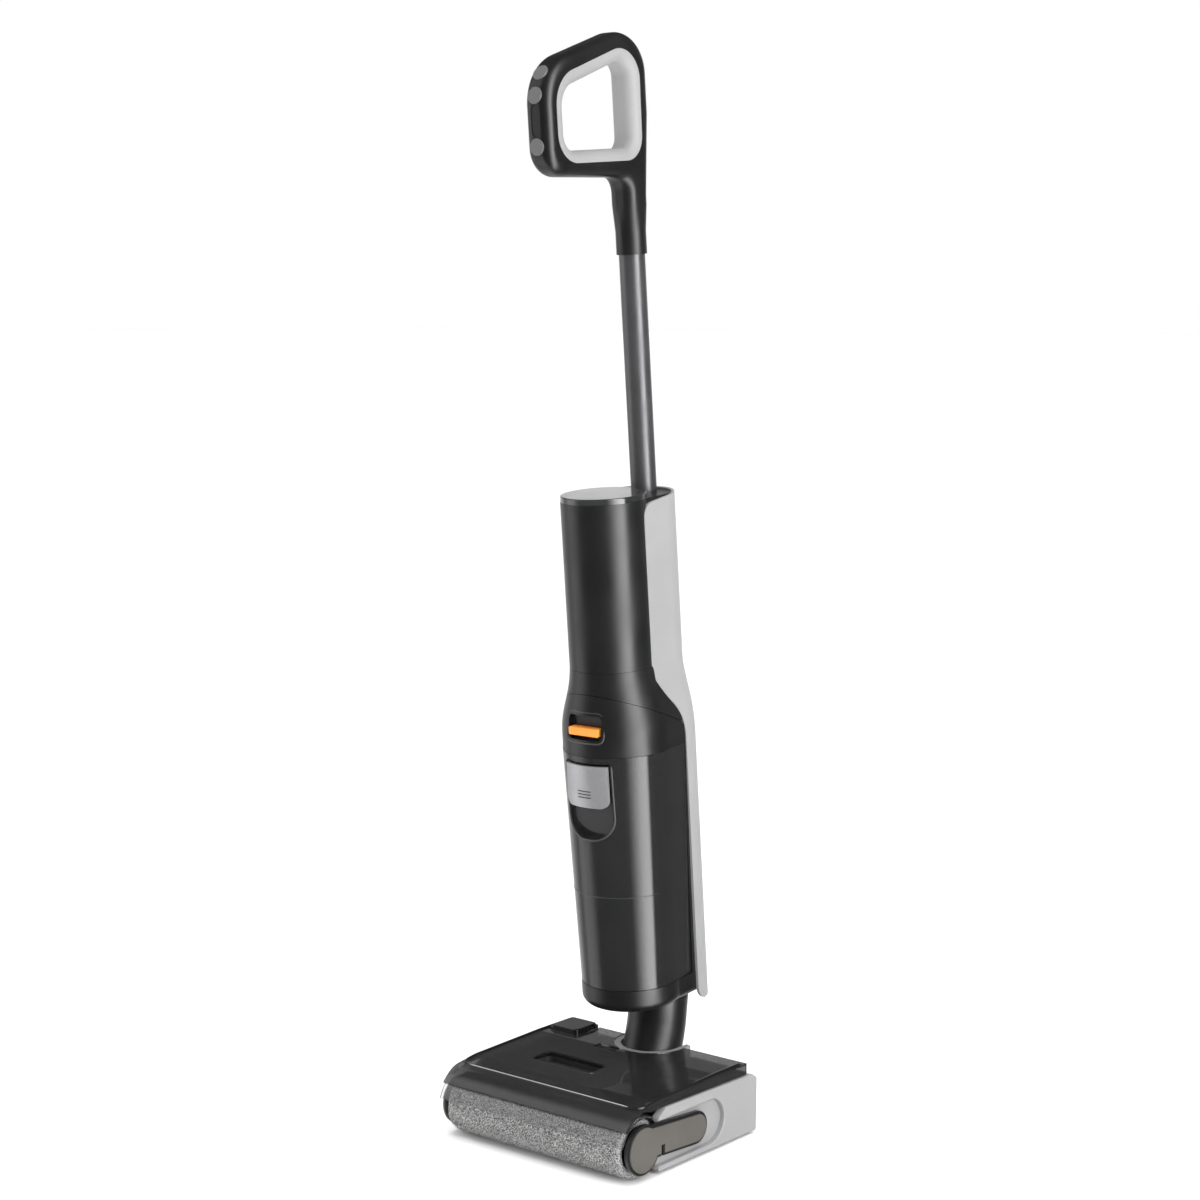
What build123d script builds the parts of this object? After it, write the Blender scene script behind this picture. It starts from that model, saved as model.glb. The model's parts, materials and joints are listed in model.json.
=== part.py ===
from build123d import *
from math import cos, radians, sin, tan
import os

"""Upright cordless wet and dry floor scrubber.

The row frame has +Z up, the roller at -Y and the origin on the floor under the middle of the
floor head. The upper body leans forward by LEAN, so it is drawn in a leaned frame of its own:
x across, b towards the back and s up along the body's axis.
"""

os.makedirs("parts", exist_ok=True)


def keep(piece, label):
    """Label a finished piece and write it as its own STEP file."""
    piece.part.label = label
    export_step(piece.part, f"parts/{label}.step")


# ---------------------------------------------------------------- driving dimensions
LEAN = 4.9
BODY = Plane(origin=(0, 57, 100), x_dir=(1, 0, 0), z_dir=(0, -sin(radians(LEAN)), cos(radians(LEAN))))

HEAD_HALF = 122.0
HEAD_FRONT = -48.0
HEAD_BACK = 104.0
WALL_X = 113.5
CHASSIS_TOP = 60.0
FLOOR_GAP = 3.0

ROLLER_Y = -80.0
ROLLER_Z = 31.0
ROLLER_R = 30.8
ROLLER_HALF = 111.0
CORE_R = 22.0
CAP_R = 25.0
SHROUD_R = 33.6
SHROUD_SECTOR = ((-51.8, 84.0), (-100.0, 110.0), (-137.4, 48.5))

PIVOT_Y = 79.0
PIVOT_Z = 52.0
NECK_R = 31.0
PLUG_R = 27.0
WELL_R = 32.6
PIN_R = 5.0
RING_Y = 88.0
RING_HEIGHT = 15.4

WHEEL_Y = 84.0
WHEEL_R = 16.0
WHEEL_X = 74.0
WHEEL_HALF = 7.0
AXLE_R = 3.0
SCREW_SPOTS = ((-104, -20), (104, -20), (-60, 40), (60, 40), (-104, 60), (104, 60))

TANK_BOTTOM = 56.6
TANK_TOP = 302.0
TANK_R_LOW = 52.2
TANK_R_TOP = 58.0
TANK_BACK = 38.0
CHEEK_ANGLE = 7.0
SLANT_FRONT = 378.4
SLANT_FALL = 0.457
SPINE_HALF = 53.0
SPINE_BACK = 41.4
CLEAN_TOP = 308.0

CYLINDER_R = 43.5
CYLINDER_B = -4.0
SEAM_S = 386.0
SHELL_TOP = 555.0

PANEL_BACK = 79.0
PANEL_WALL = 3.0
PANEL_LOW_HALF = 54.0
PANEL_TOP_HALF = 42.0

POLE_B = 61.0
POLE_R = 13.2
SLEEVE_R = 15.4
SLEEVE_TOP = 842.0
RING_HALF = 15.5
RING_ROUND = 11.0
BUTTON_R = 8.2


# ---------------------------------------------------------------- frames and shared outlines
def level(s):
    """Plane across the body at height s, with x across and y towards the back."""
    return BODY.offset(s)


SIDE = Plane(origin=BODY.origin, x_dir=BODY.y_dir, z_dir=(1, 0, 0))
HEAD_SIDE = Plane.YZ


def front_plane(b):
    """Plane facing forward at depth b, with x across and y up the body."""
    return Plane(origin=BODY.origin + BODY.y_dir * b, x_dir=(1, 0, 0), z_dir=-BODY.y_dir)


def side_at(x):
    """Plane facing +X at x, with y and z as its own axes."""
    return HEAD_SIDE.offset(x)


def tank_radius(s):
    """Outer radius of the tapered tank at height s."""
    share = (s - TANK_BOTTOM) / (TANK_TOP - TANK_BOTTOM)
    return TANK_R_LOW + share * (TANK_R_TOP - TANK_R_LOW)


def round_front(radius, back, centre=0.0):
    """A round front whose cheeks run back tangent to it, drawing in a little, to a flat at `back`."""
    lean = radians(CHEEK_ANGLE)
    side = radius * cos(lean)
    start = centre + radius * sin(lean)
    rear = side - (back - start) * tan(lean)
    with BuildLine() as outline:
        ThreePointArc((side, start), (0, centre - radius), (-side, start))
        Polyline((-side, start), (-rear, back), (rear, back), (side, start))
    make_face(outline.edges())


def back_box(half, front, back, corner):
    """A rectangle from front to back whose two rear corners are rounded."""
    with BuildLine() as outline:
        Polyline(
            (-half, back - corner),
            (-half, front),
            (half, front),
            (half, back - corner),
        )
        ThreePointArc(
            (half, back - corner),
            (half - corner * (1 - sin(radians(45))), back - corner * (1 - sin(radians(45)))),
            (half - corner, back),
        )
        Line((half - corner, back), (corner - half, back))
        ThreePointArc(
            (corner - half, back),
            (corner * (1 - sin(radians(45))) - half, back - corner * (1 - sin(radians(45)))),
            (-half, back - corner),
        )
    make_face(outline.edges())


# ---------------------------------------------------------------- floor head: fixed pieces
with BuildPart() as chassis:
    with BuildSketch(Plane.XY.offset(5.8)):
        with Locations((0, (HEAD_FRONT + HEAD_BACK) / 2)):
            Rectangle(2 * WALL_X, HEAD_BACK - HEAD_FRONT - 2)
    extrude(amount=CHASSIS_TOP - 5.8)
    fillet(chassis.edges().filter_by(Axis.Z).group_by(Axis.Y)[-1], 10)
    with BuildSketch(Plane.XY.offset(9)):
        with Locations((0, 33)):
            Rectangle(2 * WALL_X - 6, 132)
    extrude(amount=CHASSIS_TOP, mode=Mode.SUBTRACT)
    # Walls of the well that the neck swings back through
    with BuildSketch(Plane.XY.offset(9)):
        with Locations((0, PIVOT_Y)):
            Circle(WELL_R + 3)
        with Locations((0, 92)):
            Rectangle(2 * WELL_R + 6, 20)
    extrude(amount=CHASSIS_TOP - 9)
    with BuildSketch(Plane.XY.offset(18)):
        with Locations((0, PIVOT_Y)):
            Circle(WELL_R)
    extrude(amount=CHASSIS_TOP, mode=Mode.SUBTRACT)
    with BuildSketch(Plane.XY.offset(8.6)):
        with Locations((0, PIVOT_Y + 40)):
            Rectangle(2 * WELL_R, 80)
    extrude(amount=CHASSIS_TOP, mode=Mode.SUBTRACT)
    # Roller chamber: the curved front wall
    with BuildSketch(HEAD_SIDE):
        with Locations((ROLLER_Y + 3, ROLLER_Z)):
            Circle(40)
        with Locations((ROLLER_Y, 0)):
            Rectangle(58, 120)
    extrude(amount=WALL_X, both=True, mode=Mode.SUBTRACT)
    # Bosses for the pivot pins, the motor seat and the bottom screws
    with BuildSketch(side_at(WELL_R + 1)):
        with Locations((PIVOT_Y, 34)):
            Rectangle(24, 50)
    extrude(amount=8)
    mirror(about=Plane.YZ)
    with Locations((0, PIVOT_Y, PIVOT_Z)):
        Cylinder(PIN_R + 0.06, 78, rotation=(0, 90, 0), mode=Mode.SUBTRACT)
    with BuildSketch(Plane.XY.offset(9)):
        with Locations(*SCREW_SPOTS):
            Circle(4)
    extrude(amount=12)
    with BuildSketch(Plane.XY.offset(5)):
        with Locations(*SCREW_SPOTS):
            Circle(1.6)
    extrude(amount=13, mode=Mode.SUBTRACT)
    # Blocks that hold the ends of the wheel axles
    for x in (-WHEEL_X - 12, 12 - WHEEL_X, WHEEL_X - 12, WHEEL_X + 12):
        with Locations((x, WHEEL_Y, 16.5)):
            Box(6, 12, 16)
        with Locations((x, WHEEL_Y, WHEEL_R)):
            Cylinder(AXLE_R + 0.02, 6.2, rotation=(0, 90, 0), mode=Mode.SUBTRACT)
    # Slots for the two rear wheels, and the motor shaft's hole
    with BuildSketch(Plane.XY):
        with Locations((-WHEEL_X, WHEEL_Y), (WHEEL_X, WHEEL_Y)):
            Rectangle(2 * WHEEL_HALF + 2, 2 * WHEEL_R + 3)
    extrude(amount=36, mode=Mode.SUBTRACT)
    with Locations((-WALL_X, 10, 31)):
        Cylinder(3.3, 30, rotation=(0, 90, 0), mode=Mode.SUBTRACT)
keep(chassis, "head_chassis")

with BuildPart() as bottom_plate:
    with BuildSketch(Plane.XY.offset(FLOOR_GAP)):
        with Locations((0, 33)):
            Rectangle(2 * WALL_X - 2, 132)
        with Locations((-WHEEL_X, WHEEL_Y), (WHEEL_X, WHEEL_Y)):
            Rectangle(2 * WHEEL_HALF + 2, 2 * WHEEL_R + 3, mode=Mode.SUBTRACT)
        with Locations(*SCREW_SPOTS):
            Circle(3.2, mode=Mode.SUBTRACT)
        with Locations((-16, -5), (16, -5)):
            Rectangle(12.4, 20.4, mode=Mode.SUBTRACT)
    extrude(amount=2.5)
    # Middle glide pad, whose underside is the floor plane
    with BuildSketch(Plane.XY):
        RectangleRounded(16, 30, 3)
    extrude(amount=FLOOR_GAP + 0.1)
keep(bottom_plate, "bottom_plate")

with BuildPart() as head_screws:
    with BuildSketch(Plane.XY.offset(3.2)):
        with Locations(*SCREW_SPOTS):
            Circle(2.9)
    extrude(amount=2.2)
    with BuildSketch(Plane.XY.offset(5.4)):
        with Locations(*SCREW_SPOTS):
            Circle(1.5)
    extrude(amount=11)
keep(head_screws, "head_screws")

with BuildPart() as contacts:
    with BuildSketch(Plane.XY.offset(FLOOR_GAP)):
        with Locations((-16, -5), (16, -5)):
            Rectangle(12, 20)
    extrude(amount=2.4)
keep(contacts, "charge_contacts")

with BuildPart() as deck:
    with BuildSketch(Plane.XY.offset(CHASSIS_TOP + 0.1)):
        with Locations((0, 30)):
            Rectangle(2 * WALL_X - 4, 142)
        with Locations((0, PIVOT_Y)):
            Circle(WELL_R + 7.6, mode=Mode.SUBTRACT)
        with Locations((0, 100)):
            Rectangle(2 * WELL_R + 15.2, 40, mode=Mode.SUBTRACT)
    extrude(amount=2.4)
    with BuildSketch(Plane.XY.offset(CHASSIS_TOP + 2.5)):
        with Locations((-102, 8), (-84, 8), (36, 8), (62, 8), (88, 8)):
            Rectangle(2.4, 60)
    extrude(amount=2)
keep(deck, "inner_deck")

with BuildPart() as duct:
    with BuildSketch(Plane.XY.offset(CHASSIS_TOP + 2.6)):
        with BuildLine():
            Polyline(
                (-68, -37),
                (17, -37),
                (15, 0),
                (20, 40),
                (-10, 40),
                (-10, 46),
                (-44, 46),
                (-70, 0),
                close=True,
            )
        make_face()
    extrude(amount=6.8)
    with BuildSketch(Plane.XY.offset(CHASSIS_TOP + 4.6)):
        with Locations((-25.5, -18.5)):
            RectangleRounded(79, 29, 6)
    extrude(amount=8, mode=Mode.SUBTRACT)
    with BuildSketch(Plane.XY.offset(CHASSIS_TOP + 5.6)):
        with Locations((-27, 35)):
            Rectangle(30, 20)
    extrude(amount=8, mode=Mode.SUBTRACT)
    # Hook that holds the lift-off cover
    with BuildSketch(Plane.XY.offset(CHASSIS_TOP + 5.5)):
        with Locations((-25, 41)):
            Rectangle(22, 5)
    extrude(amount=8)
keep(duct, "suction_duct")

with BuildPart() as neck_ring:
    with BuildSketch(Plane.XY.offset(CHASSIS_TOP + 0.1)):
        with Locations((0, RING_Y - 4)):
            Circle(WELL_R + 6)
        with Locations((0, 92)):
            Rectangle(2 * WELL_R + 12, 20)
    extrude(amount=RING_HEIGHT)
    # The mouth leans back with the neck and is open behind it
    with BuildSketch(Plane.XY.offset(CHASSIS_TOP)):
        with Locations((0, PIVOT_Y)):
            Circle(WELL_R)
    with BuildSketch(Plane.XY.offset(CHASSIS_TOP + RING_HEIGHT + 1)):
        with Locations((0, RING_Y - 1.5)):
            Circle(WELL_R)
    loft(mode=Mode.SUBTRACT)
    with BuildSketch(Plane.XY.offset(CHASSIS_TOP - 1)):
        with Locations((0, RING_Y + 40)):
            Rectangle(2 * WELL_R - 0.2, 80)
    extrude(amount=RING_HEIGHT + 4, mode=Mode.SUBTRACT)
keep(neck_ring, "neck_ring")

with BuildPart() as panel_right:
    with BuildSketch(side_at(WALL_X + 0.3)):
        with BuildLine():
            FilletPolyline(
                (-58, FLOOR_GAP + 1),
                (HEAD_BACK, FLOOR_GAP),
                (HEAD_BACK + 1, 58),
                (HEAD_BACK - 6, 63),
                (-46, 66),
                (-58, 58),
                radius=3,
                close=True,
            )
        make_face()
        with Locations((ROLLER_Y, ROLLER_Z)):
            Circle(ROLLER_R + 1.4, mode=Mode.SUBTRACT)
    extrude(amount=HEAD_HALF - WALL_X - 0.3)
    with BuildSketch(side_at(HEAD_HALF)):
        with Locations((-14, 31.5)):
            SlotOverall(128, 46)
    extrude(amount=-5.8, mode=Mode.SUBTRACT)
    fillet(panel_right.faces().sort_by(Axis.X)[-1].outer_wire().edges().filter_by(Axis.Y), 1.5)
keep(panel_right, "side_panel_right")

with BuildPart() as panel_left:
    mirror(panel_right.part, about=Plane.YZ)
    with Locations((-WALL_X, 10, 31)):
        Cylinder(3.3, 30, rotation=(0, 90, 0), mode=Mode.SUBTRACT)
keep(panel_left, "side_panel_left")

with BuildPart() as squeegee:
    with BuildSketch(HEAD_SIDE):
        with BuildLine():
            Polyline((-42, 0), (-38.5, 0), (-35, 5.7), (-41, 5.7), close=True)
        make_face()
    extrude(amount=106, both=True)
keep(squeegee, "floor_squeegee")

with BuildPart() as scraper:
    with BuildSketch(HEAD_SIDE):
        with BuildLine():
            Polyline((-42.5, 50.9), (-44.7, 54.4), (-52.2, 48.6), (-50.9, 46.4), close=True)
        make_face()
    extrude(amount=108, both=True)
keep(scraper, "roller_scraper")

with BuildPart() as brush_motor:
    with BuildSketch(side_at(-100)):
        with Locations((10, 31)):
            Circle(15)
    extrude(amount=66)
    with BuildSketch(side_at(-106)):
        with Locations((10, 31)):
            Circle(8)
    extrude(amount=6)
    with BuildSketch(side_at(-107)):
        with Locations((10, 31)):
            Circle(2.6)
    extrude(amount=80, mode=Mode.SUBTRACT)
keep(brush_motor, "brush_motor")

# ---------------------------------------------------------------- floor head: roller drive
with BuildPart() as drive_cover:
    with BuildSketch(side_at(-HEAD_HALF)):
        with Locations((ROLLER_Y, ROLLER_Z + 0.5)):
            Circle(CAP_R)
        with BuildLine():
            Polyline((ROLLER_Y, 52), (5, 48), (5, 14.6), (ROLLER_Y, 18), close=True)
        make_face()
        with Locations((5, 31.3)):
            Circle(16.7)
    extrude(amount=2)
keep(drive_cover, "drive_cover")

with BuildPart() as pinion:
    with BuildSketch(side_at(-119.4)):
        with Locations((10, 31)):
            Circle(5)
    extrude(amount=2.8)
    with BuildSketch(side_at(-116.6)):
        with Locations((10, 31)):
            Circle(2.5)
    extrude(amount=68)
keep(pinion, "motor_shaft")

with BuildPart() as pulley:
    with BuildSketch(side_at(-119.4)):
        with Locations((ROLLER_Y, ROLLER_Z)):
            Circle(14)
    extrude(amount=2.8)
    with BuildSketch(side_at(-116.6)):
        with Locations((ROLLER_Y, ROLLER_Z)):
            Circle(17)
    extrude(amount=1.6)
    with BuildSketch(side_at(-115)):
        with Locations((ROLLER_Y, ROLLER_Z)):
            RegularPolygon(9, 6)
    extrude(amount=16)
keep(pulley, "drive_pulley")

with BuildPart() as belt:
    with BuildSketch(side_at(-119.2)):
        with Locations((ROLLER_Y, ROLLER_Z)):
            Circle(15.6)
        with Locations((10, 31)):
            Circle(6.6)
        with BuildLine():
            Polyline((ROLLER_Y, 46.6), (10, 37.6), (10, 24.4), (ROLLER_Y, 15.4), close=True)
        make_face()
        with Locations((ROLLER_Y, ROLLER_Z)):
            Circle(14.15, mode=Mode.SUBTRACT)
        with Locations((10, 31)):
            Circle(5.15, mode=Mode.SUBTRACT)
        with BuildLine():
            Polyline((ROLLER_Y, 44.9), (10, 35.9), (10, 26.1), (ROLLER_Y, 17.1), close=True)
        make_face(mode=Mode.SUBTRACT)
    extrude(amount=2.4)
keep(belt, "drive_belt")

# ---------------------------------------------------------------- floor head: roller
with BuildPart() as core:
    with BuildSketch(side_at(-ROLLER_HALF)):
        with Locations((ROLLER_Y, ROLLER_Z)):
            Circle(CORE_R)
    extrude(amount=2 * ROLLER_HALF)
    with BuildSketch(side_at(-ROLLER_HALF + 16)):
        with Locations((ROLLER_Y, ROLLER_Z)):
            Circle(CORE_R - 3)
    extrude(amount=2 * ROLLER_HALF - 32, mode=Mode.SUBTRACT)
    with BuildSketch(side_at(-ROLLER_HALF)):
        with Locations((ROLLER_Y, ROLLER_Z)):
            RegularPolygon(9.3, 6)
    extrude(amount=16, mode=Mode.SUBTRACT)
    with BuildSketch(side_at(ROLLER_HALF - 16)):
        with Locations((ROLLER_Y, ROLLER_Z)):
            Circle(11.1)
    extrude(amount=16, mode=Mode.SUBTRACT)
keep(core, "roller_core")

with BuildPart() as plush:
    with BuildSketch(side_at(-ROLLER_HALF)):
        with Locations((ROLLER_Y, ROLLER_Z)):
            Circle(ROLLER_R)
            Circle(CORE_R + 0.1, mode=Mode.SUBTRACT)
    extrude(amount=2 * ROLLER_HALF)
keep(plush, "roller_plush")

with BuildPart() as bearing:
    with BuildSketch(side_at(ROLLER_HALF - 14)):
        with Locations((ROLLER_Y, ROLLER_Z)):
            Circle(11.05)
            Circle(4.06, mode=Mode.SUBTRACT)
    extrude(amount=8)
keep(bearing, "roller_bearing")

# ---------------------------------------------------------------- floor head: removable end cap
with BuildPart() as cap:
    with BuildSketch(side_at(HEAD_HALF - 5)):
        with Locations((ROLLER_Y, ROLLER_Z + 0.5)):
            Circle(CAP_R)
        with BuildLine():
            Polyline((ROLLER_Y, 54), (5, 48), (5, 14.6), (-58, 18.5), close=True)
        make_face()
        with Locations((5, 31.3)):
            Circle(16.7)
        with Locations((-51, 22)):
            Rectangle(3, 13, mode=Mode.SUBTRACT)
    extrude(amount=4)
    with BuildSketch(side_at(HEAD_HALF - 10)):
        with Locations((ROLLER_Y, ROLLER_Z)):
            Circle(20)
    extrude(amount=5)
    with BuildSketch(side_at(HEAD_HALF - 10)):
        with Locations((ROLLER_Y, ROLLER_Z)):
            Circle(4.0)
    extrude(amount=7, mode=Mode.SUBTRACT)
keep(cap, "roller_cap")

with BuildPart() as cap_face:
    with BuildSketch(side_at(HEAD_HALF - 0.9)):
        with Locations((ROLLER_Y, ROLLER_Z + 0.5)):
            Circle(CAP_R - 2.8)
        with BuildLine():
            Polyline((ROLLER_Y, 51), (5, 45), (5, 17.6), (-61, 21.5), close=True)
        make_face()
        with Locations((5, 31.3)):
            Circle(13.7)
        with Locations((-51, 22)):
            Rectangle(6, 16, mode=Mode.SUBTRACT)
    extrude(amount=1.4)
keep(cap_face, "cap_face")

with BuildPart() as cap_shaft:
    with BuildSketch(side_at(HEAD_HALF - 27)):
        with Locations((ROLLER_Y, ROLLER_Z)):
            Circle(3.98)
    extrude(amount=24)
keep(cap_shaft, "cap_shaft")

# ---------------------------------------------------------------- floor head: rear wheels
for side, x in (("left", -WHEEL_X), ("right", WHEEL_X)):
    with BuildPart() as hub:
        with BuildSketch(side_at(x - WHEEL_HALF)):
            with Locations((WHEEL_Y, WHEEL_R)):
                Circle(WHEEL_R - 4)
                Circle(AXLE_R + 0.06, mode=Mode.SUBTRACT)
                with PolarLocations(7.6, 5):
                    Circle(1.8, mode=Mode.SUBTRACT)
        extrude(amount=2 * WHEEL_HALF)
    keep(hub, f"wheel_hub_{side}")

    with BuildPart() as tyre:
        with BuildSketch(side_at(x - WHEEL_HALF)):
            with Locations((WHEEL_Y, WHEEL_R)):
                Circle(WHEEL_R)
                Circle(WHEEL_R - 3.95, mode=Mode.SUBTRACT)
        extrude(amount=2 * WHEEL_HALF)
    keep(tyre, f"wheel_tyre_{side}")

with BuildPart() as axles:
    for x in (-WHEEL_X, WHEEL_X):
        with BuildSketch(side_at(x - 15)):
            with Locations((WHEEL_Y, WHEEL_R)):
                Circle(AXLE_R)
        extrude(amount=30)
keep(axles, "wheel_axles")

# ---------------------------------------------------------------- floor head: lift-off cover
with BuildPart() as cover:
    with BuildSketch(HEAD_SIDE):
        with BuildLine():
            Polyline((HEAD_BACK - 14, 76), (40, 76.4), (-60, 73.8), (-84, 70.6))
            Spline((-84, 70.6), (-97.5, 64.6), (-106.7, 55.9), tangents=((-24, -3.2), (-6, -8)))
            Polyline(
                (-106.7, 55.9),
                (-105, 54.3),
                (-97, 61.2),
                (-88.5, 66.4),
                (-82, 68.2),
                (-60, 71.3),
                (40, 74),
                (HEAD_BACK - 14, 73.6),
                (HEAD_BACK - 14, 76),
            )
        make_face()
    extrude(amount=HEAD_HALF - 2, both=True)
    # Side skirts that meet the grey side panels
    with BuildSketch(side_at(HEAD_HALF - 4.5)):
        with BuildLine():
            Polyline(
                (-82, 69.5),
                (-60, 73),
                (40, 76),
                (HEAD_BACK - 14, 75.6),
                (HEAD_BACK - 14, 64.4),
                (-46, 67),
                (-66, 66.2),
                close=True,
            )
        make_face()
    extrude(amount=2.5)
    mirror(about=Plane.YZ)
    # Clear of the neck's ring and of the release button, and the two windows
    with BuildSketch(Plane.XY.offset(60)):
        with Locations((0, RING_Y - 4)):
            Circle(WELL_R + 6.6)
        with Locations((0, 100)):
            Rectangle(2 * WELL_R + 13.2, 32)
        with Locations((-94, 71)):
            Rectangle(39.4, 39.4)
        with Locations((-25.5, -18.5)):
            RectangleRounded(79, 29, 6)
        with Locations((-23, 40.5)):
            Rectangle(30, 13)
    extrude(amount=30, mode=Mode.SUBTRACT)
keep(cover, "top_cover")

with BuildPart() as shroud:
    with BuildSketch(HEAD_SIDE):
        with Locations((ROLLER_Y, ROLLER_Z)):
            Circle(SHROUD_R)
            Circle(SHROUD_R - 2, mode=Mode.SUBTRACT)
        with BuildLine():
            Polyline((ROLLER_Y, ROLLER_Z), *SHROUD_SECTOR, close=True)
        make_face(mode=Mode.INTERSECT)
    extrude(amount=HEAD_HALF - 2.5, both=True)
keep(shroud, "roller_shroud")

with BuildPart() as status_light:
    with Locations((-32, -69, 67.6)):
        Box(60, 8, 1.4)
keep(status_light, "status_light")

with BuildPart() as release_button:
    with BuildSketch(Plane.XY.offset(66)):
        with Locations((-94, 71)):
            RectangleRounded(38.6, 38.6, 4)
    extrude(amount=12.6)
    with BuildSketch(Plane.XY.offset(78.6)):
        with Locations((-94, 71)):
            RectangleRounded(35, 35, 4)
    extrude(amount=2.6)
    chamfer(release_button.edges().group_by(Axis.Z)[-1], 0.8)
keep(release_button, "cover_release_button")

# ---------------------------------------------------------------- neck
NECK_PIVOT = Vector(0, PIVOT_Y, PIVOT_Z)
NECK_END_TILT = 4.0
STEER = Plane(
    origin=(0, 97, 120),
    x_dir=(1, 0, 0),
    z_dir=(0, sin(radians(NECK_END_TILT)), cos(radians(NECK_END_TILT))),
)

with BuildPart() as neck:
    with BuildLine(HEAD_SIDE) as neck_path:
        start = Line((PIVOT_Y, PIVOT_Z), (PIVOT_Y + 6, PIVOT_Z + 15))
        bend = TangentArc(start @ 1, (94, 98), tangent=start % 1)
    with BuildSketch(Plane(origin=NECK_PIVOT, x_dir=(1, 0, 0), z_dir=neck_path.wire() % 0)):
        Circle(NECK_R)
    sweep(path=neck_path.wire())
    with BuildSketch(Plane(origin=bend @ 1, x_dir=(1, 0, 0), z_dir=bend % 1)):
        Circle(NECK_R)
    with BuildSketch(STEER.offset(6)):
        Circle(NECK_R)
    loft()
    with BuildSketch(STEER.offset(6)):
        Circle(PLUG_R)
    extrude(amount=16)
    with Locations(NECK_PIVOT):
        Sphere(NECK_R)
    # Passage for the suction hose and the wires
    with BuildSketch(STEER.offset(22)):
        Circle(17)
    with BuildSketch(Plane(origin=start @ 1, x_dir=(1, 0, 0), z_dir=start % 1)):
        Circle(17)
    loft(mode=Mode.SUBTRACT)
    with BuildSketch(Plane(origin=NECK_PIVOT, x_dir=(1, 0, 0), z_dir=start % 1)):
        Circle(17)
    extrude(amount=17, mode=Mode.SUBTRACT)
    with Locations(NECK_PIVOT):
        Cylinder(PIN_R + 0.02, 2 * NECK_R + 2, rotation=(0, 90, 0), mode=Mode.SUBTRACT)
keep(neck, "neck_elbow")

with BuildPart() as trunnions:
    for side in (-1, 1):
        with BuildSketch(side_at(side * (NECK_R - 6))):
            with Locations((PIVOT_Y, PIVOT_Z)):
                Circle(PIN_R)
        extrude(amount=side * 13)
keep(trunnions, "pivot_pins")

# ---------------------------------------------------------------- upper body: cradle and spine
with BuildPart() as cradle:
    with BuildSketch(level(32)):
        Circle(TANK_R_LOW + 0.2)
        back_box(SPINE_HALF - 2.6, 0, 75.4, 28)
    extrude(amount=24)
    fillet(cradle.faces().sort_by(Axis.Z)[0].edges(), 9)
    with BuildSketch(level(44)):
        with Locations((0, 30)):
            Rectangle(2 * SPINE_HALF - 5.2, 22.8)
    extrude(amount=12)
    # Turning seat for the top of the neck
    with BuildSketch(STEER.offset(6.5)):
        Circle(NECK_R)
    extrude(amount=14)
    with BuildSketch(STEER):
        Circle(PLUG_R + 0.08)
    extrude(amount=22.6, mode=Mode.SUBTRACT)
    with BuildSketch(STEER):
        Circle(15)
    extrude(amount=60, mode=Mode.SUBTRACT)
keep(cradle, "base_cradle")


# ---------------------------------------------------------------- upper body: grey back shell
def panel_solid(grow):
    """The back shell's U, thickened by `grow` all round for the room that it needs."""
    stations = (
        (308.0, PANEL_LOW_HALF),
        (332.0, 52.2),
        (354.0, 47.8),
        (372.0, 43.6),
        (SEAM_S, PANEL_TOP_HALF),
    )
    with BuildPart() as shell:
        for inset, mode in ((-grow, Mode.ADD), (PANEL_WALL + grow, Mode.SUBTRACT)):
            front = -20.0
            corner = 33.0 - inset
            with BuildSketch(level(10)):
                back_box(PANEL_LOW_HALF - inset, front, PANEL_BACK - inset, corner)
            extrude(amount=298, mode=mode)
            for height, half in stations:
                with BuildSketch(level(height)):
                    back_box(half - inset, front, PANEL_BACK - inset, corner)
            loft(mode=mode)
            with BuildSketch(level(SEAM_S)):
                back_box(PANEL_TOP_HALF - inset, front, PANEL_BACK - inset, corner)
            extrude(amount=190, mode=mode)
        with BuildSketch(SIDE):
            with BuildLine():
                low = Line((41.8 - grow, 40 - grow), (41.8 - grow, 300))
                sweep_up = Spline(
                    low @ 1,
                    (39.9 - grow, 323.7),
                    (33.4 - grow, 338.4),
                    (21.8 - grow, 353.2),
                    (11.0 - grow, 369.5),
                    (7.0 - grow, 388),
                    tangents=((0, 1), (0, 1)),
                )
                high = Line(sweep_up @ 1, (7.0 - grow, 536))
                corner_top = ThreePointArc(high @ 1, (11.4 - grow, 546.6 + grow), (22, 551 + grow))
                Polyline(
                    corner_top @ 1,
                    (PANEL_BACK + 4, 557 + grow),
                    (PANEL_BACK + 4, 25 - grow),
                    (52, 25 - grow),
                )
                ThreePointArc((52, 25 - grow), (44.8 - grow, 30 - grow), low @ 0)
            make_face()
        extrude(amount=80, both=True, mode=Mode.INTERSECT)
    return shell.part


with BuildPart() as back_panel:
    add(panel_solid(0))
keep(back_panel, "back_panel")

with BuildPart() as clean_tank:
    with BuildSketch(level(57)):
        back_box(PANEL_LOW_HALF - 3.4, 41.9, 75.6, 29.6)
    extrude(amount=CLEAN_TOP - 57)
    with BuildSketch(level(59)):
        back_box(PANEL_LOW_HALF - 5.4, 43.9, 73.6, 27.6)
    extrude(amount=CLEAN_TOP - 61, mode=Mode.SUBTRACT)
    with BuildSketch(level(CLEAN_TOP - 8)):
        with Locations((-20, 58)):
            Circle(9)
    extrude(amount=10, mode=Mode.SUBTRACT)
keep(clean_tank, "clean_tank")

with BuildPart() as filler_cap:
    with BuildSketch(level(CLEAN_TOP - 7)):
        with Locations((-20, 58)):
            Circle(8.9)
    extrude(amount=7.1)
    with BuildSketch(level(CLEAN_TOP + 0.1)):
        with Locations((-20, 58)):
            Circle(11)
    extrude(amount=3)
keep(filler_cap, "filler_cap")

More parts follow.
